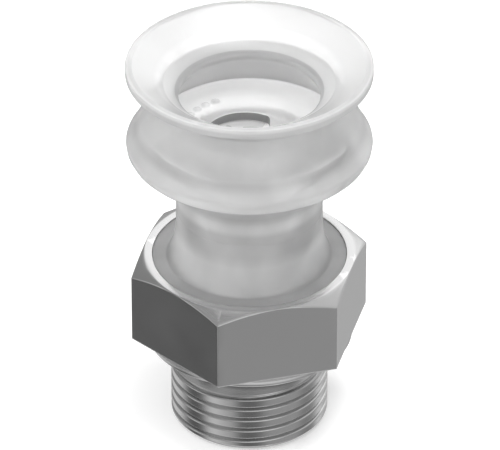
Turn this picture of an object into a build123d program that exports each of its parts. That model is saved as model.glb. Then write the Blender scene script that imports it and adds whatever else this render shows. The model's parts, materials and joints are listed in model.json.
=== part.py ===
"""Bellows suction cup on a screw-in hexagon connector.

Millimetres. The axis of the cup is Z, the origin is the centre of the thread's end face, and the lip
opens upwards. Two corners of the hexagon lie on the X axis.
"""
from build123d import *
from math import radians, sin, sqrt, tan
import os

# Connector: thread, washer face with a recess for a sealing ring, hexagon, socket in the top
thread_diameter = 9.728
thread_reach = 5.85
thread_end_chamfer = 0.35
relief_diameter = 8.3
relief_width = 1.3
seal_recess_diameter = 10.4
seal_recess_depth = 0.4
relief_overlap = 0.2
washer_diameter = 12.76
washer_height = 0.61
hex_across_flats = 13.0
hex_height = 5.11
hex_face_inset = 0.05
hex_chamfer_angle = 30
socket_diameter = 11.94
socket_depth = 2.6
port_diameter = 4.0
port_depth = 5.0

# Hollow nipple that clamps the cup's foot and carries its neck
tail_diameter = 5.2
tail_clearance = 0.02
flange_diameter = 7.8
flange_thickness = 0.7
stem_diameter = 4.4
head_diameter = 6.2
head_height = 1.25
head_chamfer = 0.3
head_cone_angle = 30
passage_diameter = 2.5
passage_chamfer = 0.15

# Soft cup: widest diameter, which the lip and the fold share
cup_diameter = 14.98

# Soft cup: foot and neck
foot_clearance = 0.05
foot_sink = 0.2
foot_edge_chamfer = 0.2
clamped_thickness = 1.2
soft_clearance = 0.05
neck_diameter = 8.98
neck_length = 7.39
flare_diameter = 10.2
flare_height = 1.25
flare_rounding = 4.5
neck_top_chamfer = 0.6

# Soft cup: round base of the bellows, with a dished floor and an opening with one flat side
base_thickness = 1.62
base_rounding = 0.95
fold_rounding = 0.555
floor_dish = 0.32
floor_dish_width = 0.9
floor_membrane = 0.5
opening_diameter = 4.9
opening_shift = 0.25
opening_flat = 1.25
opening_corner = 0.5
opening_turn = -15.25

# Soft cup: sloping wall of the fold, throat and lip
fold_slope = 59
fold_height = 2.62
fold_thickness = 1.046
fold_joint_gap = 0.03
throat_bevel = 0.31
throat_land = 0.05
throat_chamfer = 0.3
shoulder_width = 0.7
shoulder_slope = 20
lip_slope = 32.6
lip_edge_height = 0.56
lip_land_width = 0.41
lip_underside_slope = 30.2
lip_root_overlap = 0.2

# Ball-shaped parting between the throat, which stays level, and the lip, which tilts
tilt_height_above_collar = 0.4
tilt_ball_inset = 0.1
tilt_clearance = 0.05

# How far a cutting solid reaches past the face that it opens
overrun = 1.0

# Heights of the main faces, from the thread's end face
seat_level = thread_reach
hex_low = seat_level + washer_height
hex_top = hex_low + hex_height
socket_floor = hex_top - socket_depth
foot_top = hex_top - foot_sink
neck_top = foot_top + neck_length
equator = neck_top + base_rounding
floor_edge = neck_top + base_thickness
floor_level = floor_edge - floor_dish
head_top = floor_level - floor_membrane
flange_low = socket_floor + clamped_thickness
collar_low = floor_edge + fold_height
tilt_centre = collar_low + tilt_height_above_collar

# Outer and inner slope of the fold: the outer one leaves the rounding of the widest circle
fold_run = tan(radians(fold_slope))
fold_corner = equator + fold_rounding * tan(radians(90 - fold_slope) / 2)
fold_wall = fold_thickness / sin(radians(fold_slope))


def fold_outside(height):
    """Radius of the fold's outer slope at a height."""
    return cup_diameter / 2 - (height - fold_corner) / fold_run


def fold_inside(height):
    """Radius of the fold's inner slope at a height."""
    return fold_outside(height) - fold_wall


# Throat, shoulder and lip, each carried on from the fold's inner slope
throat_low = collar_low + throat_bevel
throat_radius = fold_inside(throat_low)
throat_top = throat_low + throat_land + throat_chamfer
shoulder_radius = throat_radius + throat_chamfer + shoulder_width
shoulder_top = throat_top + shoulder_width * tan(radians(shoulder_slope))
tilt_ball_radius = shoulder_radius + tilt_ball_inset
lip_land_radius = cup_diameter / 2 - lip_land_width
lip_top = shoulder_top + (lip_land_radius - shoulder_radius) * tan(radians(lip_slope))


def lip_underside(radius):
    """Height of the lip's underside at a radius."""
    edge_low = lip_top - lip_edge_height
    return edge_low - (cup_diameter / 2 - radius) * tan(radians(lip_underside_slope))


def turned(*corners):
    """Solid of revolution about Z from corners given as radius, height and rounding."""
    points = [(corner[0], 0, corner[1]) for corner in corners]
    roundings = [corner[2] if len(corner) > 2 else 0 for corner in corners]
    outline = FilletPolyline(*points, radius=roundings, close=True)
    return revolve(make_face(outline), axis=Axis.Z)


def nipple_outline(grow):
    """Outside of the nipple above the socket floor, grown by a clearance."""
    tail = tail_diameter / 2 + grow
    flange = flange_diameter / 2 + grow
    stem = stem_diameter / 2 + grow
    head = head_diameter / 2 + grow
    head_low = head_top - head_height
    return [
        (tail, flange_low),
        (flange, flange_low),
        (flange, flange_low + flange_thickness + grow),
        (stem, flange_low + flange_thickness + grow),
        (stem, head_low - grow),
        (head, head_low + (head - stem) * tan(radians(head_cone_angle)) - grow),
        (head, head_top - head_chamfer),
        (head - head_chamfer, head_top),
    ]


def screw_connector():
    """Turned hexagon connector with its thread, washer face, seal recess, socket and air port."""
    thread = thread_diameter / 2
    relief = relief_diameter / 2
    port = port_diameter / 2
    seat = tail_diameter / 2 + tail_clearance
    relief_low = seat_level - relief_width
    thread_run = relief_low - (thread - relief)
    recess_top = seat_level + seal_recess_depth
    screw_top = recess_top + relief_overlap
    screw = turned(
        (port, 0),
        (thread - thread_end_chamfer, 0),
        (thread, thread_end_chamfer),
        (thread, thread_run),
        (relief, relief_low),
        (relief, screw_top),
        (port, screw_top),
    )
    corner = hex_across_flats / sqrt(3)
    prism = Pos(0, 0, hex_low) * extrude(RegularPolygon(corner, 6), hex_height)
    face = hex_across_flats / 2 - hex_face_inset
    reach = corner + overrun - face
    drop = reach * tan(radians(hex_chamfer_angle))
    bevel = turned(
        (0, hex_low),
        (face + reach, hex_low),
        (face + reach, hex_top - drop),
        (face, hex_top),
        (0, hex_top),
    )
    washer = turned(
        (0, seat_level),
        (washer_diameter / 2, seat_level),
        (washer_diameter / 2, hex_low),
        (0, hex_low),
    )
    recess = turned(
        (0, seat_level - overrun),
        (seal_recess_diameter / 2, seat_level - overrun),
        (seal_recess_diameter / 2, recess_top),
        (0, recess_top),
    )
    inside = turned(
        (0, -overrun),
        (port, -overrun),
        (port, port_depth),
        (seat, port_depth),
        (seat, socket_floor),
        (socket_diameter / 2, socket_floor),
        (socket_diameter / 2, hex_top + overrun),
        (0, hex_top + overrun),
    )
    return screw + ((prism & bevel) + washer - recess) - inside


def clamp_nipple():
    """Hollow nipple: tail in the connector, flange on the cup's foot, stem and head in its neck."""
    passage = passage_diameter / 2
    return turned(
        (passage, port_depth),
        (tail_diameter / 2, port_depth),
        *nipple_outline(0),
        (passage + passage_chamfer, head_top),
        (passage, head_top - passage_chamfer),
    )


def floor_opening():
    """Round opening with one flat side, cut through the floor over the nipple's head."""
    disc = Pos(-opening_shift, 0) * Circle(opening_diameter / 2)
    kept = Pos(opening_flat - opening_diameter, 0) * Rectangle(2 * opening_diameter, 2 * opening_diameter)
    outline = disc & kept
    outline = fillet(outline.vertices(), opening_corner)
    low = head_top - head_chamfer
    cutter = extrude(outline, floor_edge + overrun - low)
    return Rot(0, 0, opening_turn) * Pos(0, 0, low) * cutter


def cup_foot():
    """Foot, neck and round base of the soft cup, up to the edge of its floor."""
    neck = neck_diameter / 2
    foot = socket_diameter / 2 - foot_clearance
    widest = cup_diameter / 2
    flare = flare_diameter / 2
    body = turned(
        (0, socket_floor),
        (foot, socket_floor),
        (foot, foot_top - foot_edge_chamfer),
        (foot - foot_edge_chamfer, foot_top),
        (flare, foot_top),
        (neck, foot_top + flare_height, flare_rounding),
        (neck, neck_top - neck_top_chamfer),
        (neck + neck_top_chamfer, neck_top),
        (widest, neck_top, base_rounding),
        (widest, fold_corner, fold_rounding),
        (fold_outside(floor_edge), floor_edge),
        (0, floor_edge),
    )
    dish_edge = fold_inside(floor_edge)
    dish = turned(
        (0, floor_level),
        (dish_edge - floor_dish_width, floor_level),
        (dish_edge, floor_edge),
        (dish_edge, floor_edge + overrun),
        (0, floor_edge + overrun),
    )
    hollow = turned(
        (0, socket_floor - overrun),
        (tail_diameter / 2 + soft_clearance, socket_floor - overrun),
        *nipple_outline(soft_clearance),
        (0, head_top),
    )
    return body - dish - hollow - floor_opening()


def bellows_fold():
    """Sloping wall of the fold, which flattens when the cup is pressed on the work."""
    low = floor_edge + fold_joint_gap
    high = collar_low - fold_joint_gap
    return turned(
        (fold_inside(low), low),
        (fold_outside(low), low),
        (fold_outside(high), high),
        (fold_inside(high), high),
    )


def throat_collar():
    """Round throat between the fold and the lip, ball-shaped on its outside."""
    outside = tilt_ball_radius + overrun
    ring = turned(
        (fold_inside(collar_low), collar_low),
        (outside, collar_low),
        (outside, shoulder_top + overrun),
        (shoulder_radius + overrun / tan(radians(lip_slope)), shoulder_top + overrun),
        (shoulder_radius, shoulder_top),
        (throat_radius + throat_chamfer, throat_top),
        (throat_radius, throat_top - throat_chamfer),
        (throat_radius, throat_low),
    )
    return ring & Pos(0, 0, tilt_centre) * Sphere(tilt_ball_radius)


def sealing_lip():
    """Thin conical lip with a square edge, which seals on the work and tilts with it."""
    edge = cup_diameter / 2
    root = shoulder_radius - lip_root_overlap
    cone = turned(
        (root, lip_underside(root)),
        (edge, lip_underside(edge)),
        (edge, lip_top),
        (lip_land_radius, lip_top),
        (shoulder_radius, shoulder_top),
        (root, shoulder_top - lip_root_overlap * tan(radians(shoulder_slope))),
    )
    return cone - Pos(0, 0, tilt_centre) * Sphere(tilt_ball_radius + tilt_clearance)


pieces = {
    "screw_connector": screw_connector,
    "clamp_nipple": clamp_nipple,
    "cup_foot": cup_foot,
    "bellows_fold": bellows_fold,
    "throat_collar": throat_collar,
    "sealing_lip": sealing_lip,
}

os.makedirs("parts", exist_ok=True)
for name, make in pieces.items():
    export_step(make(), f"parts/{name}.step")
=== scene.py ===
"""Looks of the bellows suction cup: milky silicone on a nickel plated connector, on a pale studio floor.

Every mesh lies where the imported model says, with +Z up and the origin in the thread's end face. Sizes in
this script are in millimetres and are turned into metres where a mesh is made.
"""

import json
from math import cos, pi, radians, sin, sqrt, tan

import bmesh
import bpy
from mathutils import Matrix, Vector


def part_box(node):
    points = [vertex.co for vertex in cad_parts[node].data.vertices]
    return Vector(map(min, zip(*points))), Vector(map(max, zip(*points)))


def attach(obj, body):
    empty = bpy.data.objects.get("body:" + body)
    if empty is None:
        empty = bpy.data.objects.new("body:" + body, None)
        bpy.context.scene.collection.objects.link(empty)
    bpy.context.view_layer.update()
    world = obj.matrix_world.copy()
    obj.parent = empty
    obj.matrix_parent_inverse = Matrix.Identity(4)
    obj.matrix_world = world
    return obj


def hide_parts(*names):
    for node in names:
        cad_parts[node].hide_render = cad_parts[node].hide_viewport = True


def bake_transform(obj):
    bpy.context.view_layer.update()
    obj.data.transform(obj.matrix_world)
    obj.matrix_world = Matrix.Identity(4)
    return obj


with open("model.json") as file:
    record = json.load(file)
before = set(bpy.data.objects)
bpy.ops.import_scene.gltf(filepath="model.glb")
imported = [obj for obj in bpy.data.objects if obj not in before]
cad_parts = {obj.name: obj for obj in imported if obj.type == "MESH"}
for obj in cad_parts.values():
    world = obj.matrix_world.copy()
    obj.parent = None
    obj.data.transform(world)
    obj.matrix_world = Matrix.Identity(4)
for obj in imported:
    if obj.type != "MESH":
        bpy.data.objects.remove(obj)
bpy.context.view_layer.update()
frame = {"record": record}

MM = 0.001

# Camera: the photograph is taken square to the opening's flat side
view_azimuth = -15.254
view_elevation = 33.454
view_distance = 364.62
view_focal_length = 428.8
view_sensor_width = 36
view_aim = (0.036, -0.0098, 13.545)

# Heights and radii that the frame gives
connector_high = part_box("screw_connector")[1] / MM
foot_low, foot_high = (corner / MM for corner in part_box("cup_foot"))
nipple_low, nipple_high = (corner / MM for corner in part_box("clamp_nipple"))
lip_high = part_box("sealing_lip")[1] / MM
mounts ={mount["name"]: mount for mount in frame["record"]["mounts"]}
thread_radius = mounts["thread"]["dims"]["r_mm"]
port_radius = mounts["air_port"]["dims"]["r_mm"]
hex_flat = connector_high.y
seat_level = mounts["hexagon_seat"]["pos_m"][2] / MM
hex_top = connector_high.z
socket_floor = foot_low.z
port_depth = nipple_low.z
head_top = nipple_high.z
cup_radius = foot_high.x
lip_top = lip_high.z
floor_edge = foot_high.z

# From here on, a name that ends in _rows lists where an outline has points of its own between its corners.

# Connector: washer face, hexagon, socket and the recess for a sealing ring
washer_radius = 6.38
washer_height = 0.61
washer_rounding = 0.12
hex_low = seat_level + washer_height
hex_low_rounding = 0.06
hex_low_row = 0.14
hex_corner_rounding = 0.06
hex_edge_rounding = 0.045
hex_edge_share = 0.3
hex_face_radius = 6.45
hex_chamfer_slope = tan(radians(30))
socket_radius = 5.97
seat_radius = 2.62
seal_recess_radius = 5.2
seal_recess_top = seat_level + 0.4
edge_break = 0.04

# Rows of the hexagon's side, as shares of its height, and of its chamfer, from the outer edge inwards, as a
# share of the chamfer's width and how far the row is drawn in and sunk, in edge roundings
hex_side_rows = (0.25, 0.5, 0.75)
hex_chamfer_rows = (
    (1, 0, 3),
    (1, 0, 0.9),
    (1, 0.25, 0.15),
    (1, 0.8, -0.45),
    (0.7, 0, 0),
    (0.35, 0, 0),
    (0.12, 0, 0),
)

# Connector: thread and relief groove
relief_radius = 4.15
relief_low = 4.55
thread_end_chamfer = 0.35
thread_pitch = 0.776
thread_depth = 0.27
thread_groove_share = 0.44
thread_start = 0.27

# Nipple, with the ledge and the bead that show through the cup's opening
nipple_rounding = 0.1
nipple_clearance = 0.02
flange_radius = 3.9
flange_low = 10.17
flange_top = flange_low + 0.7
stem_radius = 2.2
stem_rounding = 0.15
head_radius = 3.1
head_low = head_top - 1.25
head_cone_top = head_low + (head_radius - stem_radius) * tan(radians(30))
head_chamfer = 0.3
head_rounding = 0.06
ledge_radius = 2.66
ledge_depth = 0.16
ledge_rounding = 0.05
bead_radius = 1.72
bead_half_width = 0.08
bead_foot = 0.14
bead_rounding = 0.07
passage_radius = 1.25
passage_flare = 0.2
passage_flare_top = 0.3
passage_flare_low = 0.5

# Silicone cup: foot, neck and the parting line on it, whose rows are a height off its middle and a share of
# its depth
soft_clearance = 0.05
foot_radius = 5.955
foot_top = 11.53
foot_low_rounding = 0.15
foot_edge_rounding = 0.035
flare_radius = 5.1
flare_low_rounding = 0.15
flare_rounding = 6.0
flare_height = 2.55
flare_start = 0.08
flare_steps = 8
neck_radius = 4.49
neck_rows = (16.2, 17.4)
neck_top = 18.76
neck_top_rounding = 0.9
parting_height = 14.94
parting_depth = 0.018
parting_rows = ((-0.12, 0), (-0.06, 0), (-0.02, 1), (0.02, 1), (0.06, 0), (0.12, 0))

# Silicone cup: bellows fold, and the notch between fold and lip
base_rounding = 0.95
fold_rounding = 0.555
fold_slope = radians(59)
fold_thickness = 1.046
fold_corner = neck_top + base_rounding + fold_rounding * tan((pi / 2 - fold_slope) / 2)
fold_rows = (20.6, 21.1, 21.6, 22.1, 22.6, 22.9)
notch_radius = 5.4
notch_rounding = 0.22

# Silicone cup: throat and lip
throat_radius = 4.2
throat_low = 22.96
throat_low_rounding = 0.38
throat_edge_radius = 4.65
throat_edge_height = 23.54
throat_edge_rounding = 2.0
crease_radius = 5.2
crease_depth = 0.025
crease_half_width = 0.07
lip_rows = (6.6, 6.2, 5.8, 5.5, crease_radius + crease_half_width, crease_radius,
            crease_radius - crease_half_width, crease_radius - 0.15)
lip_land_radius = 7.08
lip_rim_rounding = 0.07
lip_edge_height = 0.56
lip_underside_slope = tan(radians(30.2))
silicone_edge = 0.05
notch_height = lip_top - lip_edge_height - (cup_radius - notch_radius) * lip_underside_slope

# Silicone cup: inner wall, dished floor and the opening with one flat side
wall_rows = (0.15, 0.3, 0.45, 0.6, 0.75, 0.88)
floor_level = 20.18
floor_dish_width = 0.9
dish_edge_rounding = 0.12
dish_low_rounding = 2.5
dish_low_rise = 0.03
opening_radius = 2.45
opening_shift = 0.25
opening_flat = 1.25
opening_flat_start = 0.2
opening_corner = 0.35
opening_turn = radians(view_azimuth)
opening_edge = 0.015
opening_rows = (0.6, 0.25, 0.08, opening_edge)

# Mould marks on the cup's floor
pip_ring_radius = 4.15
pip_angles = [radians(angle) for angle in (120, 130, 140, 150)]
pip_radius = 0.34
pip_rise = 0.16
pip_fullness = 0.7
pip_steps = 10

# Where the cup's two pieces part
seam_height = 23.2
seam_share = (seam_height - throat_low) / (throat_edge_height - throat_low)
seam_radius = throat_radius + (throat_edge_radius - throat_radius) * seam_share

# Tones of the metal: how far the plating drifts, the relief groove darkened as painted shade, and the white tone
# under the silicone, painted light that keeps the metal from showing dark through it
plating_drift = 0.03
relief_shade_tone = 0.62
under_silicone_light_tone = 0.97
bare_metallic = 0.35

# Painted light and shade on the silicone by height: the bulge's shadow on the upper neck, a darker neck and fold
# middle, and painted highlights on the flare, a neck band, the bulge's widest part and the fold's top. Middle
# height, the distances from it within which the tone is full and beyond which it is gone, and the tone
silicone_tone = 0.9
height_light_and_shade = [
    (12.3, 0.9, 1.7, 0.97),
    (14.9, 0.8, 1.6, 0.76),
    (17.3, 0.5, 1.0, 0.62),
    (16.0, 0.12, 0.5, 0.98),
    (22.7, 0.3, 1.2, 1.0),
    (20.78, 0.03, 0.45, 0.79),
    (19.7, 0.4, 0.8, 0.92),
]

# Tones of single parts of the cup. The streaks are painted reflections. The lip, the inner wall, the notch under
# the lip and the opening's wall are darkened as painted shade and shadow. The rim, the shoulder and the floor are
# lightened as painted light. The pips' darker tone is their own
reflection_streak_tone = 0.88
lip_shade_tone = 0.74
rim_light_tone = 0.96
notch_shadow_tone = 0.62
shoulder_light_tone = 0.98
cup_floor_light_tone = 0.97
pip_tone = 0.7
opening_shade_tone = 0.17
wall_shade_tone = 0.46

# Light: tones of the room and the floor, and soft patches in reflections as azimuth, elevation, width in
# degrees and strength. A negative strength is a dark card, and a patch has its full strength over the share
# of its width that patch_core gives
light_above = 0.7
light_below = 0.48
light_rise = (-0.6, 0.9)
floor_paint = 0.86
floor_whiteness = 0.3
floor_drop = 0.02
floor_half_width = 600
room_tone = 0.42
darkest_reflection = 0.02
patch_core = 0.35
reflected_patches = [
    (170, 30, 42, 1.0),
    (118, 52, 40, 0.34),
    (10, 45, 40, 0.4),
    (28, 22, 24, 0.5),
    (-82, 12, 22, 0.5),
    (129, -3, 24, 0.5),
    (145, -33, 30, 0.12),
    (124, -33, 11, 0.35),
    (94, -33, 16, -0.15),
    (180, 72, 20, 0.5),
    (-12, -33, 36, -0.26),
    (-44, -33, 28, 0.4),
    (-90, -33, 28, -0.3),
    (-140, 28, 28, -0.12),
    (-130, -33, 28, 0.34),
    (0, -85, 40, 0.5),
]

# Lamps: name, azimuth and elevation in degrees, distance and size in millimetres, and power in watts
lamp_target = (0, 0, 13)
lamps = [
    ("key light", -20, 60, 320, 220, 0.25),
    ("side light", -75, 35, 320, 220, 0.22),
    ("top light", 70, 80, 300, 120, 0.52),
]

# Columns of faces round the axis, and rows in one turn of the thread
cup_columns = 216
metal_columns = 180
thread_rows = 24


def between(low, high, share):
    """Value between low and high at a share from 0 to 1."""
    return low + (high - low) * share


def rounded(corners, steps=5):
    """Closed outline of (radius, height) points, where a corner's third value rounds it with an arc."""
    points = []
    count = len(corners)
    for index, corner in enumerate(corners):
        if len(corner) < 3:
            points.append(corner)
            continue
        here = Vector(corner[:2])
        back = (Vector(corners[index - 1][:2]) - here).normalized()
        ahead = (Vector(corners[(index + 1) % count][:2]) - here).normalized()
        half = back.angle(ahead) / 2
        centre = here + (back + ahead).normalized() * corner[2] / sin(half)
        first = here + back * corner[2] / tan(half) - centre
        last = here + ahead * corner[2] / tan(half) - centre
        turn = first.angle_signed(last)
        for step in range(steps + 1):
            angle = -turn * step / steps
            spoke = Vector((first.x * cos(angle) - first.y * sin(angle),
                            first.x * sin(angle) + first.y * cos(angle)))
            points.append(tuple(centre + spoke))
    return points


def add_object(name, data):
    """Object with its data, linked to the scene."""
    made = bpy.data.objects.new(name, data)
    bpy.context.scene.collection.objects.link(made)
    return made


def smooth_object(name, mesh):
    """Object of a mesh with smooth faces."""
    mesh.polygons.foreach_set("use_smooth", [True] * len(mesh.polygons))
    return add_object(name, mesh)


def mesh_object(name, vertices, faces):
    """Smooth mesh object in metres from vertices in millimetres."""
    mesh = bpy.data.meshes.new(name)
    mesh.from_pydata([Vector(vertex) * MM for vertex in vertices], [], faces)
    return smooth_object(name, mesh)


def lathe(name, outline, angles, closed=True):
    """Ring of an outline turned about Z. A point's radius or height may be a function of the angle."""
    vertices = []
    for angle in angles:
        for radius, height in outline:
            r = radius(angle) if callable(radius) else radius
            z = height(angle) if callable(height) else height
            vertices.append((r * cos(angle), r * sin(angle), z))
    rows = len(outline)
    columns = len(angles)
    faces = []
    for column in range(columns):
        here, ahead = column * rows, (column + 1) % columns * rows
        for row in range(rows if closed else rows - 1):
            above = (row + 1) % rows
            faces.append((here + row, ahead + row, ahead + above, here + above))
    return mesh_object(name, vertices, faces)


def even_angles(columns):
    """Angles of evenly spaced columns round the axis."""
    return [2 * pi * column / columns for column in range(columns)]


def plain_mesh(piece, name):
    """New object with the evaluated mesh of a piece, which is then removed."""
    graph = bpy.context.evaluated_depsgraph_get()
    mesh = bpy.data.meshes.new_from_object(piece.evaluated_get(graph), depsgraph=graph)
    made = add_object(name, mesh)
    bpy.data.objects.remove(piece)
    mesh.name = name
    return made


def join_shell(name, parts):
    """One closed piece from parts whose edges meet, with its faces turned outwards."""
    joined = bmesh.new()
    for part in parts:
        joined.from_mesh(part.data)
    bmesh.ops.remove_doubles(joined, verts=joined.verts, dist=1e-6)
    bmesh.ops.recalc_face_normals(joined, faces=joined.faces)
    mesh = bpy.data.meshes.new(name)
    joined.to_mesh(mesh)
    joined.free()
    for part in parts:
        bpy.data.objects.remove(part)
    return smooth_object(name, mesh)


def place(tree, kind, inputs=None, **settings):
    """Adds a node to a tree, sets its properties and fills its inputs with values or links."""
    node = tree.nodes.new(kind)
    for name, value in settings.items():
        setattr(node, name, value)
    for key, value in (inputs or {}).items():
        if isinstance(value, bpy.types.NodeSocket):
            tree.links.new(value, node.inputs[key])
        else:
            node.inputs[key].default_value = value
    return node


def calculate(tree, operation, *values):
    """Result of a Math node on values or links."""
    return place(tree, "ShaderNodeMath", dict(enumerate(values)), operation=operation).outputs[0]


def map_range(tree, value, low, high, to_low=0.0, to_high=1.0, kind="LINEAR"):
    """Value mapped from one range to another and held at its ends."""
    return place(tree, "ShaderNodeMapRange", {
        "Value": value, "From Min": low, "From Max": high, "To Min": to_low, "To Max": to_high,
    }, interpolation_type=kind).outputs[0]


def new_tree(name, kind, inputs, outputs):
    """Node group with named inputs and outputs, and its two end nodes."""
    tree = bpy.data.node_groups.new(name, kind)
    for title, socket, default in inputs:
        item = tree.interface.new_socket(title, in_out="INPUT", socket_type=socket)
        if default is not None:
            item.default_value = default
    for title, socket in outputs:
        tree.interface.new_socket(title, in_out="OUTPUT", socket_type=socket)
    return tree, tree.nodes.new("NodeGroupInput"), tree.nodes.new("NodeGroupOutput")


def input_values(modifier, values):
    """Sets a modifier's inputs, named as in its tree, by their sockets' identifiers."""
    for item in modifier.node_group.interface.items_tree:
        if item.item_type == "SOCKET" and item.in_out == "INPUT" and item.name in values:
            modifier[item.identifier] = values[item.name]


def finish_metal(piece, material):
    """Weighted normals, so that flat faces stay flat between their rounded edges, and the finish."""
    weighted = piece.modifiers.new("flat faces", "WEIGHTED_NORMAL")
    weighted.keep_sharp = True
    piece.data.materials.append(material)
    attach(piece, "connector")


def hexagon_angles(side_columns=20, corner_columns=4):
    """Angles of the hexagon's columns, close together where its corners are rounded."""
    corner_span = hex_corner_rounding * tan(radians(30)) / (2 * hex_flat / sqrt(3))
    angles = []
    for side in range(6):
        start = side * pi / 3
        for step in range(corner_columns):
            angles.append(start + corner_span * (2 * step / corner_columns - 1))
        low, high = start + corner_span, start + pi / 3 - corner_span
        for step in range(side_columns):
            angles.append(between(low, high, step / side_columns))
    return angles


def hexagon_radius(angle):
    """Radius of the hexagon's outline, with rounded corners, the first of them on the X axis."""
    turn = angle % (pi / 3)
    off_corner = min(turn, pi / 3 - turn)
    flat = hex_flat / cos(pi / 6 - off_corner)
    centre = (hex_flat - hex_corner_rounding) * 2 / sqrt(3)
    aside = centre * sin(off_corner)
    if aside >= hex_corner_rounding / 2:
        return flat
    return min(flat, centre * cos(off_corner) + sqrt(hex_corner_rounding ** 2 - aside ** 2))


def chamfer_width(angle):
    """Width of the hexagon's chamfer, measured along the radius."""
    return hexagon_radius(angle) - hex_face_radius


def chamfer_low(angle):
    """Height of the lower edge of the hexagon's chamfer."""
    return hex_top - chamfer_width(angle) * hex_chamfer_slope


def chamfer_point(share, inset, sink):
    """Outline point at a share of the chamfer's width, drawn in and sunk by shares of the edge rounding."""
    def edge(angle):
        """Edge rounding, smaller where the chamfer is narrow."""
        return min(hex_edge_rounding, hex_edge_share * chamfer_width(angle))

    def radius(angle):
        return hex_face_radius + chamfer_width(angle) * share - edge(angle) * inset

    def height(angle):
        return hex_top - chamfer_width(angle) * share * hex_chamfer_slope - edge(angle) * sink

    return radius, height


def connector_hexagon():
    """Hexagon head of the connector with its 30 degree chamfers and the socket for the cup's foot."""
    outline = rounded([
        (socket_radius, socket_floor),
        (seat_radius, socket_floor),
        (seat_radius, seal_recess_top),
        (seal_recess_radius, seal_recess_top),
        (seal_recess_radius, seat_level, edge_break),
        (washer_radius, seat_level, washer_rounding),
        (washer_radius, hex_low),
    ])
    corner_cut = 0.2 * hex_low_rounding
    outline += [
        (lambda angle: hexagon_radius(angle) - hex_low_rounding, hex_low),
        (lambda angle: hexagon_radius(angle) - corner_cut, hex_low + corner_cut),
        (hexagon_radius, hex_low + hex_low_rounding),
        (hexagon_radius, hex_low + hex_low_row),
    ]
    for share in hex_side_rows:
        outline.append((hexagon_radius, lambda angle, share=share: between(hex_low, chamfer_low(angle), share)))
    outline += [chamfer_point(*row) for row in hex_chamfer_rows]
    corner_cut = 0.3 * edge_break
    outline += [
        (hex_face_radius - hex_edge_rounding, hex_top),
        (socket_radius + edge_break, hex_top),
        (socket_radius + corner_cut, hex_top - corner_cut),
        (socket_radius, hex_top - edge_break),
    ]
    piece = lathe("connector_hexagon", outline, hexagon_angles())
    finish_metal(piece, plated)
    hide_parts("screw_connector")


def helical_thread_tree():
    """Geometry nodes: the outside of a screw, with one groove that runs up round it and fades at its ends."""
    tree, given, result = new_tree("helical thread", "GeometryNodeTree", [
        ("Crest Radius", "NodeSocketFloat", 0.005), ("Groove Depth", "NodeSocketFloat", 0.0003),
        ("Groove Share", "NodeSocketFloat", 0.44), ("Pitch", "NodeSocketFloat", 0.001),
        ("Groove Start", "NodeSocketFloat", 0.0), ("Length", "NodeSocketFloat", 0.005),
        ("End Chamfer", "NodeSocketFloat", 0.0003), ("Run Out", "NodeSocketFloat", 0.0007),
        ("Columns", "NodeSocketInt", 180), ("Rows per Turn", "NodeSocketInt", 24),
        ("Turns", "NodeSocketInt", 8), ("Material", "NodeSocketMaterial", None),
    ], [("Geometry", "NodeSocketGeometry")])
    asked = given.outputs
    pitch, length, crest = asked["Pitch"], asked["Length"], asked["Crest Radius"]

    def work(operation, *values):
        return calculate(tree, operation, *values)

    # A grid of one by one: its width goes once round the axis, its height up the turns
    grid = place(tree, "GeometryNodeMeshGrid", {
        "Size X": 1.0, "Size Y": 1.0, "Vertices X": work("ADD", asked["Columns"], 1),
        "Vertices Y": work("ADD", work("MULTIPLY", asked["Turns"], asked["Rows per Turn"]), 1)})
    position = place(tree, "GeometryNodeInputPosition").outputs[0]
    point = place(tree, "ShaderNodeSeparateXYZ", {0: position})
    round_share = work("ADD", point.outputs["X"], 0.5)
    up_share = work("ADD", point.outputs["Y"], 0.5)
    turns_up = work("SUBTRACT", work("MULTIPLY", up_share, asked["Turns"]), 1.0)
    turns_up = work("ADD", turns_up, round_share)
    height = work("MAXIMUM", work("MULTIPLY", turns_up, pitch), 0.0)
    height = work("MINIMUM", height, length)

    # Depth of the groove from how far a point is off its middle, faded in at the screw's end
    phase = work("DIVIDE", work("SUBTRACT", height, asked["Groove Start"]), pitch)
    phase = work("FRACT", work("ADD", work("SUBTRACT", phase, round_share), 2.5))
    off_groove = work("ABSOLUTE", work("SUBTRACT", phase, 0.5))
    half_share = work("MULTIPLY", asked["Groove Share"], 0.5)
    groove = map_range(tree, off_groove, 0.0, half_share, 1.0, 0.0, "SMOOTHSTEP")
    fade = map_range(tree, height, 0.0, work("MULTIPLY", pitch, 0.3), kind="SMOOTHSTEP")
    depth = work("MULTIPLY", work("MULTIPLY", groove, asked["Groove Depth"]), fade)

    # The smallest of three radii: the grooved side, the end chamfer and the run-out into the relief groove
    cut = work("SUBTRACT", crest, depth)
    chamfer = work("ADD", work("SUBTRACT", crest, asked["End Chamfer"]), height)
    past_run_out = work("SUBTRACT", height, work("SUBTRACT", length, asked["Run Out"]))
    run_out = work("SUBTRACT", crest, past_run_out)
    radius = work("MINIMUM", cut, work("MINIMUM", chamfer, run_out))
    angle = work("MULTIPLY", round_share, 2 * pi)
    around = place(tree, "ShaderNodeCombineXYZ", {
        "X": work("MULTIPLY", radius, work("COSINE", angle)),
        "Y": work("MULTIPLY", radius, work("SINE", angle)),
        "Z": height}).outputs[0]
    wound = place(tree, "GeometryNodeSetPosition", {"Geometry": grid.outputs["Mesh"], "Position": around})
    merged = place(tree, "GeometryNodeMergeByDistance", {"Geometry": wound.outputs[0], "Distance": 1e-6})
    smooth = place(tree, "GeometryNodeSetShadeSmooth", {"Geometry": merged.outputs[0]})
    real = place(tree, "GeometryNodeRealizeInstances", {"Geometry": smooth.outputs[0]})
    coated = place(tree, "GeometryNodeSetMaterial", {"Geometry": real.outputs[0], "Material": asked["Material"]})
    tree.links.new(coated.outputs[0], result.inputs[0])
    return tree


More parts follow.
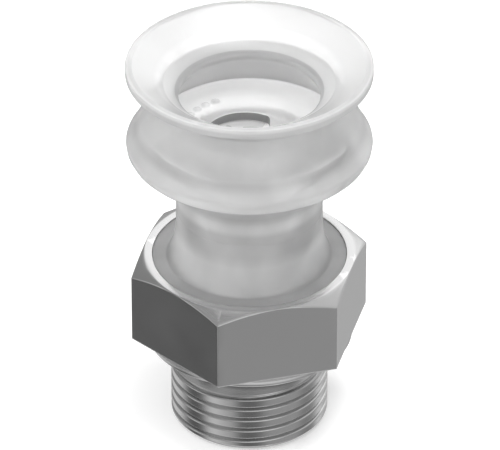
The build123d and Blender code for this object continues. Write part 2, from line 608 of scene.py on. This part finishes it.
def connector_thread():
    """Screw end of the connector: helical groove, relief groove, end face and air port."""
    screw = mesh_object("screw_outside", [(0, 0, 0)], [])
    winding = screw.modifiers.new("helical thread", "NODES")
    winding.node_group = helical_thread_tree()
    input_values(winding, {
        "Crest Radius": thread_radius * MM,
        "Groove Depth": thread_depth * MM,
        "Groove Share": thread_groove_share,
        "Pitch": thread_pitch * MM,
        "Groove Start": thread_start * MM,
        "Length": relief_low * MM,
        "End Chamfer": thread_end_chamfer * MM,
        "Run Out": (thread_radius - relief_radius) * MM,
        "Columns": metal_columns,
        "Rows per Turn": thread_rows,
        "Turns": int(relief_low / thread_pitch) + 3,
        "Material": plated,
    })
    screw = plain_mesh(screw, "screw_outside")
    low_edge = thread_radius - thread_end_chamfer
    core = lathe("screw_core", [
        (relief_radius, relief_low),
        (relief_radius, relief_low + edge_break),
        (relief_radius, seal_recess_top - edge_break),
        (relief_radius, seal_recess_top),
        (seat_radius, seal_recess_top),
        (seat_radius, port_depth),
        (port_radius, port_depth),
        (port_radius, 2 * edge_break),
        (port_radius, edge_break),
        (port_radius + edge_break, 0),
        (port_radius + 2 * edge_break, 0),
        (low_edge - edge_break, 0),
        (low_edge, 0),
    ], even_angles(metal_columns), closed=False)
    piece = join_shell("connector_thread", [screw, core])
    finish_metal(piece, plated)


def nipple():
    """Hollow nipple that clamps the cup's foot, with its cone head under the cup's floor."""
    tail_radius = seat_radius - nipple_clearance
    outline = rounded([
        (passage_radius, port_depth, nipple_rounding),
        (tail_radius, port_depth, nipple_rounding),
        (tail_radius, flange_low),
        (flange_radius, flange_low, nipple_rounding),
        (flange_radius, flange_top, nipple_rounding),
        (stem_radius, flange_top, stem_rounding),
        (stem_radius, head_low, nipple_rounding),
        (head_radius, head_cone_top, nipple_rounding),
        (head_radius, head_top - head_chamfer, head_rounding),
        (head_radius - head_chamfer, head_top, head_rounding),
        (ledge_radius, head_top),
        (bead_radius + bead_foot, head_top - ledge_depth, ledge_rounding),
        (bead_radius + bead_half_width, head_top, bead_rounding),
        (bead_radius - bead_half_width, head_top, bead_rounding),
        (passage_radius + passage_flare, head_top - passage_flare_top, nipple_rounding),
        (passage_radius, head_top - passage_flare_low, nipple_rounding),
    ], steps=4)
    piece = lathe("nipple", outline, even_angles(metal_columns))
    finish_metal(piece, nipple_metal)
    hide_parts("clamp_nipple")


def opening(angle):
    """Radius of the opening in the cup's floor: round, with one flat side and rounded corners."""
    toward_flat = cos(angle - opening_turn)
    across = opening_shift * toward_flat
    circle = -across + sqrt(opening_radius ** 2 - opening_shift ** 2 + across ** 2)
    if toward_flat < opening_flat_start:
        return circle
    flat = opening_flat / toward_flat
    share = min(max(0.5 + 0.5 * (flat - circle) / opening_corner, 0), 1)
    return between(flat, circle, share) - opening_corner * share * (1 - share)


def fold_outside(height):
    """Radius of the fold's outer slope at a height."""
    return cup_radius - (height - fold_corner) / tan(fold_slope)


# Radius of the floor's edge, where the fold's inner slope reaches it
dish_edge = fold_outside(floor_edge) - fold_thickness / sin(fold_slope)


def pip_height(radius, angle):
    """Height of the row of round mould pips over the cup's floor."""
    rise = 0.0
    for pip_angle in pip_angles:
        turn = angle - pip_angle - opening_turn
        off = sqrt(radius ** 2 + pip_ring_radius ** 2 - 2 * radius * pip_ring_radius * cos(turn))
        if off < pip_radius:
            rise = pip_rise * cos(off / pip_radius * pi / 2) ** pip_fullness
    return rise


def cup_outside():
    """Corners of the cup from its foot up the outside to the land of its lip."""
    corners = [
        (seat_radius + soft_clearance, socket_floor),
        (foot_radius, socket_floor, foot_low_rounding),
        (foot_radius, foot_top, foot_edge_rounding),
        (flare_radius, foot_top, flare_low_rounding),
    ]
    for rise in [flare_start] + [flare_height * step / flare_steps for step in range(1, flare_steps + 1)]:
        swell = flare_rounding - sqrt(flare_rounding ** 2 - (flare_height - rise) ** 2)
        corners.append((neck_radius + swell, foot_top + rise))
    corners += [(neck_radius - parting_depth * share, parting_height + off) for off, share in parting_rows]
    corners += [(neck_radius, height) for height in neck_rows]
    corners += [
        (neck_radius, neck_top, neck_top_rounding),
        (cup_radius, neck_top, base_rounding),
        (cup_radius, fold_corner, fold_rounding),
    ]
    corners += [(fold_outside(height), height) for height in fold_rows]
    return corners + [
        (notch_radius, notch_height, notch_rounding),
        (cup_radius, lip_top - lip_edge_height, silicone_edge),
        (cup_radius, lip_top, lip_rim_rounding),
        (lip_land_radius, lip_top, silicone_edge),
    ]


def cup_inside():
    """Corners of the cup from its lip's cone down the throat and the inner wall to the floor."""
    corners = []
    for radius in lip_rows:
        share = (lip_land_radius - radius) / (lip_land_radius - throat_edge_radius)
        sink = crease_depth if radius == crease_radius else 0
        corners.append((radius, between(lip_top, throat_edge_height, share) - sink))
    corners += [
        (throat_edge_radius, throat_edge_height, throat_edge_rounding),
        (seam_radius, seam_height),
        (throat_radius, throat_low, throat_low_rounding),
    ]
    for share in wall_rows:
        corners.append((between(throat_radius, dish_edge, share), between(throat_low, floor_edge, share)))
    return corners + [
        (dish_edge, floor_edge, dish_edge_rounding),
        (dish_edge - floor_dish_width, floor_level + dish_low_rise, dish_low_rounding),
        (pip_ring_radius + pip_radius, floor_level),
    ]


def cup_outline():
    """Whole outline of the cup: outside, inside, floor with its pips, opening, and cavity round the nipple."""
    outline = rounded(cup_outside() + cup_inside())
    for step in range(1, pip_steps):
        radius = pip_ring_radius + pip_radius * (1 - 2 * step / pip_steps)
        outline.append((radius, lambda angle, radius=radius: floor_level + pip_height(radius, angle)))
    outline.append((pip_ring_radius - pip_radius, floor_level))
    for off in opening_rows:
        outline.append((lambda angle, off=off: opening(angle) + off, floor_level))
    cavity_top = head_top + soft_clearance
    outline += [(opening, height) for height in (
        floor_level - opening_edge, floor_level - silicone_edge, cavity_top + silicone_edge, cavity_top)]
    return outline + [
        (head_radius - head_chamfer + soft_clearance, cavity_top),
        (head_radius + soft_clearance, cavity_top - head_chamfer),
        (head_radius + soft_clearance, head_cone_top),
        (stem_radius + soft_clearance, head_low - soft_clearance),
        (stem_radius + soft_clearance, flange_top + soft_clearance),
        (flange_radius + soft_clearance, flange_top + soft_clearance),
        (flange_radius + soft_clearance, flange_low - soft_clearance),
        (seat_radius + soft_clearance, flange_low - soft_clearance),
    ]


def nearest_row(outline, radius, height):
    """Index of the outline's point nearest to a place."""
    def far(index):
        r, z = outline[index]
        return 1e9 if callable(r) or callable(z) else (r - radius) ** 2 + (z - height) ** 2
    return min(range(len(outline)), key=far)


def soft_piece(name, outline):
    """Silicone piece turned from an outline, with sharp edges only where two pieces part."""
    piece = lathe(name, outline, even_angles(cup_columns))
    piece.data.set_sharp_from_angle(angle=radians(50))
    piece.data.materials.append(silicone)
    return piece


def silicone_cup():
    """The cup in two pieces that part inside its throat: the body with its fold, and the lip."""
    outline = cup_outline()
    outer = nearest_row(outline, notch_radius, notch_height)
    inner = nearest_row(outline, seam_radius, seam_height)
    body = soft_piece("cup_body", outline[:outer + 1] + outline[inner:])
    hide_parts("cup_foot", "bellows_fold")
    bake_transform(body)
    lip = soft_piece("cup_lip", outline[outer:inner + 1])
    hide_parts("throat_collar", "sealing_lip")
    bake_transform(lip)


def noise(tree, vector, scale, detail):
    """Noise from 0 to 1 at a place."""
    return place(tree, "ShaderNodeTexNoise", {"Vector": vector, "Scale": scale, "Detail": detail}).outputs["Fac"]


def split_place(tree, vector):
    """The part of a place that is square to the axis, its distance from the axis, and its height."""
    point = place(tree, "ShaderNodeSeparateXYZ", {0: vector})
    flat = place(tree, "ShaderNodeCombineXYZ", {"X": point.outputs["X"], "Y": point.outputs["Y"]}).outputs[0]
    radius = place(tree, "ShaderNodeVectorMath", {0: flat}, operation="LENGTH").outputs["Value"]
    return flat, radius, point.outputs["Z"]


def surface_grain_group():
    """Fine grain: a soft mask over large patches and a small height for the Bump node."""
    tree, given, result = new_tree("surface grain", "ShaderNodeTree", [
        ("Vector", "NodeSocketVector", None), ("Patch Scale", "NodeSocketFloat", 150.0),
        ("Grain Scale", "NodeSocketFloat", 4000.0),
    ], [("Patches", "NodeSocketFloat"), ("Height", "NodeSocketFloat")])
    asked = given.outputs
    tree.links.new(noise(tree, asked["Vector"], asked["Patch Scale"], 2.0), result.inputs["Patches"])
    tree.links.new(noise(tree, asked["Vector"], asked["Grain Scale"], 3.0), result.inputs["Height"])
    return tree


def turned_marks_group():
    """Fine rings that a lathe tool leaves: noise that changes with radius and height, not round the axis."""
    tree, given, result = new_tree("turned marks", "ShaderNodeTree", [
        ("Vector", "NodeSocketVector", None), ("Scale", "NodeSocketFloat", 9000.0),
    ], [("Height", "NodeSocketFloat")])
    _, radius, height = split_place(tree, given.outputs["Vector"])
    along = place(tree, "ShaderNodeCombineXYZ", {"X": radius, "Y": height}).outputs[0]
    tree.links.new(noise(tree, along, given.outputs["Scale"], 2.0), result.inputs[0])
    return tree


def painted_streaks_group():
    """Soft streaks of lighter and darker tone up the walls and outwards on the lip: painted reflections of the
    silicone's streaky gloss.
    """
    tree, given, result = new_tree("painted reflection streaks", "ShaderNodeTree", [
        ("Vector", "NodeSocketVector", None), ("Scale", "NodeSocketFloat", 2.2),
        ("Rise", "NodeSocketFloat", 160.0), ("Shift", "NodeSocketFloat", 0.0),
    ], [("Streaks", "NodeSocketFloat")])
    asked = given.outputs
    flat, _, height = split_place(tree, asked["Vector"])
    around = place(tree, "ShaderNodeVectorMath", {0: flat}, operation="NORMALIZE").outputs[0]
    spot = place(tree, "ShaderNodeSeparateXYZ", {0: around}).outputs
    along = calculate(tree, "ADD", calculate(tree, "MULTIPLY", height, asked["Rise"]), asked["Shift"])
    run = place(tree, "ShaderNodeCombineXYZ", {"X": spot["X"], "Y": spot["Y"], "Z": along}).outputs[0]
    streaks = map_range(tree, noise(tree, run, asked["Scale"], 1.5), 0.38, 0.62)
    tree.links.new(streaks, result.inputs[0])
    return tree


def edge_wear_group():
    """Mask that is high on sharp outer edges, where plating is polished by handling."""
    tree, given, result = new_tree("edge wear", "ShaderNodeTree", [
        ("Low", "NodeSocketFloat", 0.57), ("High", "NodeSocketFloat", 0.66),
    ], [("Mask", "NodeSocketFloat")])
    sharpness = place(tree, "ShaderNodeNewGeometry").outputs["Pointiness"]
    mask = map_range(tree, sharpness, given.outputs["Low"], given.outputs["High"])
    tree.links.new(mask, result.inputs[0])
    return tree


def use_group(tree, group, inputs=None):
    """Places a node group in a material, fills its inputs and returns its outputs."""
    return place(tree, "ShaderNodeGroup", inputs, node_tree=group).outputs


def new_material(name, **constants):
    """Material with a Principled BSDF, its constants and Object coordinates."""
    material = bpy.data.materials.new(name)
    material.use_nodes = True
    tree = material.node_tree
    shader = tree.nodes["Principled BSDF"]
    for socket, value in constants.items():
        shader.inputs[socket.replace("_", " ")].default_value = value
    coordinates = place(tree, "ShaderNodeTexCoord").outputs["Object"]
    return material, tree, shader, coordinates


def grey(value):
    """Neutral colour."""
    return (value, value, value, 1.0)


def mix_colour(tree, share, low, high, blend="MIX"):
    """Colour between two greys or links."""
    return place(tree, "ShaderNodeMix", {0: share, 6: low, 7: high}, data_type="RGBA", blend_type=blend).outputs[2]


def step_down(tree, value, full, none):
    """Mask that is 1 up to one size in millimetres and falls to 0 at a larger one."""
    return map_range(tree, value, full * MM, none * MM, 1.0, 0.0)


def step_up(tree, value, none, full):
    """Mask that is 0 up to one size in millimetres and rises to 1 at a larger one."""
    return map_range(tree, value, none * MM, full * MM)


def band(tree, value, middle, full, none):
    """Mask that is 1 within one distance in millimetres of a middle value and falls to 0 at a larger one."""
    off = calculate(tree, "ABSOLUTE", calculate(tree, "SUBTRACT", value, middle * MM))
    return step_down(tree, off, full, none)


def overlap(tree, mask, *others):
    """Mask of where all the given masks lie over each other."""
    for other in others:
        mask = calculate(tree, "MULTIPLY", mask, other)
    return mask


def lighten_under_silicone(material, bare_radius, bare_above):
    """White tone on the metal where it sits in the silicone, outside a bare end face: painted light that keeps the
    metal from showing dark through the silicone.
    """
    tree = material.node_tree
    shader = tree.nodes["Principled BSDF"]
    _, radius, height = split_place(tree, place(tree, "ShaderNodeTexCoord").outputs["Object"])
    bare = overlap(tree, step_down(tree, radius, bare_radius, bare_radius + 0.05),
                   calculate(tree, "GREATER_THAN", height, bare_above * MM))
    base = shader.inputs["Base Color"].links[0].from_socket
    tree.links.new(mix_colour(tree, bare, grey(under_silicone_light_tone), base), shader.inputs["Base Color"])
    tree.links.new(calculate(tree, "MULTIPLY", bare, bare_metallic), shader.inputs["Metallic"])


def plating(name, tone, polished, roughness, groups):
    """Nickel plating: tone and roughness drift a little, edges are polished, turning marks catch the light, and
    the relief groove is darkened as painted shade.
    """
    material, tree, shader, coordinates = new_material(name, Metallic=1.0)
    spots = use_group(tree, groups["grain"], {"Vector": coordinates, "Patch Scale": 260.0, "Grain Scale": 5200.0})
    rings = use_group(tree, groups["marks"], {"Vector": coordinates, "Scale": 5200.0})
    edges = use_group(tree, groups["wear"])
    _, radius, height = split_place(tree, coordinates)
    # Painted shade: the relief groove under the washer face is darkened
    relief_shade = overlap(tree, step_down(tree, radius, relief_radius + 0.15, relief_radius + 0.3),
                        step_down(tree, height, seat_level, seat_level + 0.05))
    darker, lighter = grey(tone * (1 - plating_drift)), grey(tone * (1 + plating_drift))
    base = mix_colour(tree, spots["Patches"], darker, lighter)
    base = mix_colour(tree, relief_shade, base, grey(tone * relief_shade_tone))
    base = mix_colour(tree, edges["Mask"], base, grey(polished))
    rough = map_range(tree, spots["Patches"], 0.3, 0.7, roughness * 0.9, roughness * 1.12)
    marks = place(tree, "ShaderNodeBump", {"Strength": 0.25, "Distance": 0.000004, "Height": rings["Height"]})
    fine = place(tree, "ShaderNodeBump", {
        "Strength": 0.12, "Distance": 0.000003, "Height": spots["Height"], "Normal": marks.outputs["Normal"]})
    tree.links.new(base, shader.inputs["Base Color"])
    tree.links.new(rough, shader.inputs["Roughness"])
    tree.links.new(fine.outputs["Normal"], shader.inputs["Normal"])
    return material


def part_light_and_shade(tree, radius, height):
    """Masks of the cup's parts that have a tone of their own, each with that tone, in the order of use. All but
    the pips' tone are painted light and shade.
    """
    on_lip = band(tree, height, 25.0, 0.7, 0.9)
    on_rim = overlap(tree, band(tree, height, lip_top, 0.15, 0.28), step_up(tree, radius, 7.3, 7.42))
    in_notch = overlap(tree, band(tree, height, notch_height, 0.05, 0.26), step_up(tree, radius, 5.0, 5.2))
    on_shoulder = overlap(tree, band(tree, height, 23.4, 0.5, 0.65),
                          step_down(tree, radius, crease_radius - 0.05, crease_radius + 0.05))
    on_floor = overlap(tree, band(tree, height, floor_level + 0.06, 0.2, 0.4),
                       step_down(tree, radius, dish_edge, dish_edge + 0.3))
    pips_reach = pip_ring_radius + pip_radius
    on_pips = overlap(tree, step_down(tree, radius, pips_reach, pips_reach + 0.05),
                      step_up(tree, height, floor_level + 0.02, floor_level + 0.09))
    half_cut = (floor_level - head_top) / 2
    on_cut = overlap(tree, step_down(tree, radius, opening_radius + 0.3, opening_radius + 0.5),
                     band(tree, height, head_top + half_cut + 0.02, half_cut - 0.06, half_cut - 0.03))
    wall_run = (dish_edge - throat_radius) / (throat_low - floor_edge)
    over_floor = calculate(tree, "SUBTRACT", height, floor_edge * MM)
    beside_wall = calculate(tree, "ADD", radius, calculate(tree, "MULTIPLY", wall_run, over_floor))
    on_wall = overlap(tree, step_down(tree, beside_wall, dish_edge + 0.2, dish_edge + 0.4),
                      step_up(tree, height, floor_edge + 0.05, floor_edge + 0.15),
                      step_down(tree, height, throat_low - 0.5, throat_low + 0.1))
    return [
        (on_lip, lip_shade_tone),
        (on_rim, rim_light_tone),
        (in_notch, notch_shadow_tone),
        (on_shoulder, shoulder_light_tone),
        (on_floor, cup_floor_light_tone),
        (on_pips, pip_tone),
        (on_cut, opening_shade_tone),
        (on_wall, wall_shade_tone),
    ]


def milky_silicone(groups):
    """Translucent silicone: light scatters in it, its skin is satin with faint moulding bloom, and its colour
    carries painted light and shade by height and by part, and painted reflection streaks.
    """
    material, tree, shader, coordinates = new_material(
        "milky silicone", Subsurface_Weight=0.8, Subsurface_Radius=(1.0, 1.0, 1.0), Subsurface_Scale=0.0015,
        IOR=1.41, Transmission_Weight=0.6, Coat_Weight=0.5, Coat_Roughness=0.15)
    bloom = use_group(tree, groups["grain"], {"Vector": coordinates, "Patch Scale": 320.0, "Grain Scale": 9000.0})
    reflection_streaks = use_group(tree, groups["reflection_streaks"], {"Vector": coordinates, "Shift": 3.1})
    _, radius, height = split_place(tree, coordinates)
    base = grey(silicone_tone)
    # Painted light and shade by height
    for middle, full, none, tone in height_light_and_shade:
        base = mix_colour(tree, band(tree, height, middle, full, none), base, grey(tone))
    # Painted reflections: soft streaks of lighter and darker tone
    streaks = mix_colour(tree, reflection_streaks["Streaks"], grey(reflection_streak_tone), grey(1.0))
    base = mix_colour(tree, 1.0, base, streaks, "MULTIPLY")
    # Painted light and shade by part; the pips' darker tone is their own
    for mask, tone in part_light_and_shade(tree, radius, height):
        base = mix_colour(tree, mask, base, grey(tone))
    rough = map_range(tree, bloom["Patches"], 0.35, 0.65, 0.29, 0.35)
    bump = place(tree, "ShaderNodeBump", {"Strength": 0.15, "Distance": 0.000004, "Height": bloom["Height"]})
    tree.links.new(base, shader.inputs["Base Color"])
    tree.links.new(rough, shader.inputs["Roughness"])
    tree.links.new(bump.outputs["Normal"], shader.inputs["Normal"])
    return material


def toward(azimuth, elevation):
    """Direction from the object, where azimuth 0 is the side of the photograph's camera."""
    turn = radians(azimuth + view_azimuth)
    rise = radians(elevation)
    return Vector((sin(turn) * cos(rise), -cos(turn) * cos(rise), sin(rise)))


def glow(tree, direction, azimuth, elevation, width, strength):
    """Soft patch of light in the world, seen in reflections from one direction."""
    facing = place(tree, "ShaderNodeVectorMath", {0: direction, 1: toward(azimuth, elevation)},
                   operation="DOT_PRODUCT").outputs["Value"]
    outer, inner = cos(radians(width)), cos(radians(width * patch_core))
    return map_range(tree, facing, outer, inner, 0.0, strength, "SMOOTHSTEP")


def seen_directly(tree):
    """Mask of rays that reach the camera straight or through the silicone, and the Light Path's outputs."""
    path = place(tree, "ShaderNodeLightPath").outputs
    return calculate(tree, "MAXIMUM", path["Is Camera Ray"], path["Is Transmission Ray"]), path


def studio_world():
    """Pale room: white to the camera, a soft gradient as light, and soft boxes and dark cards in reflections."""
    world = bpy.data.worlds.new("studio")
    bpy.context.scene.world = world
    world.use_nodes = True
    tree = world.node_tree
    tree.nodes.clear()
    direction = place(tree, "ShaderNodeTexCoord").outputs["Generated"]
    up = place(tree, "ShaderNodeSeparateXYZ", {0: direction}).outputs["Z"]
    reflected = room_tone
    for patch in reflected_patches:
        reflected = calculate(tree, "ADD", reflected, glow(tree, direction, *patch))
    reflected = calculate(tree, "MAXIMUM", reflected, darkest_reflection)
    light = map_range(tree, up, *light_rise, light_below, light_above, "SMOOTHSTEP")
    seen, path = seen_directly(tree)
    light = mix_colour(tree, path["Is Glossy Ray"], light, reflected)
    light = mix_colour(tree, seen, light, grey(1.0))
    background = place(tree, "ShaderNodeBackground", {"Color": light})
    place(tree, "ShaderNodeOutputWorld", {"Surface": background.outputs[0]})


def studio_floor():
    """Plain pale floor that keeps a soft shadow. It is white to the camera where nothing shades it."""
    mesh = bpy.data.meshes.new("floor")
    half, low = floor_half_width * MM, -floor_drop * MM
    mesh.from_pydata([(-half, -half, low), (half, -half, low), (half, half, low), (-half, half, low)],
                     [], [(0, 1, 2, 3)])
    floor = add_object("floor", mesh)
    floor.visible_glossy = False
    material = bpy.data.materials.new("pale floor")
    material.use_nodes = True
    tree = material.node_tree
    tree.nodes.clear()
    paint = place(tree, "ShaderNodeBsdfDiffuse", {"Color": grey(floor_paint)})
    seen, _ = seen_directly(tree)
    strength = calculate(tree, "MULTIPLY", seen, floor_whiteness)
    white = place(tree, "ShaderNodeEmission", {"Color": grey(1.0), "Strength": strength})
    both = place(tree, "ShaderNodeAddShader", {0: paint.outputs[0], 1: white.outputs[0]})
    place(tree, "ShaderNodeOutputMaterial", {"Surface": both.outputs[0]})
    mesh.materials.append(material)


def soft_box(name, azimuth, elevation, distance, size, power):
    """Square area lamp that looks at the object."""
    lamp = bpy.data.lights.new(name, "AREA")
    lamp.size = size * MM
    lamp.energy = power
    box = add_object(name, lamp)
    direction = toward(azimuth, elevation)
    box.location = (Vector(lamp_target) + direction * distance) * MM
    box.rotation_euler = (-direction).to_track_quat("-Z", "Y").to_euler()
    box.visible_glossy = False


def photograph_camera():
    """Camera at the photograph's angle and distance."""
    lens = bpy.data.cameras.new("camera")
    lens.lens = view_focal_length
    lens.sensor_width = view_sensor_width
    lens.clip_start = 10 * MM
    camera = add_object("camera", lens)
    direction = toward(0, view_elevation)
    camera.location = (Vector(view_aim) + direction * view_distance) * MM
    camera.rotation_euler = (-direction).to_track_quat("-Z", "Y").to_euler()
    bpy.context.scene.camera = camera


shared = {
    "grain": surface_grain_group(),
    "marks": turned_marks_group(),
    "wear": edge_wear_group(),
    "reflection_streaks": painted_streaks_group(),
}
plated = plating("nickel plating", tone=0.6, polished=0.8, roughness=0.24, groups=shared)
nipple_metal = plating("bright nickel", tone=0.68, polished=0.95, roughness=0.3, groups=shared)
# Painted light: the nipple is white where the silicone covers it
lighten_under_silicone(nipple_metal, ledge_radius, head_low)
silicone = milky_silicone(shared)

photograph_camera()
studio_world()
studio_floor()
for lamp in lamps:
    soft_box(*lamp)
bpy.context.scene.view_settings.view_transform = "Standard"

connector_hexagon()
connector_thread()
nipple()
silicone_cup()
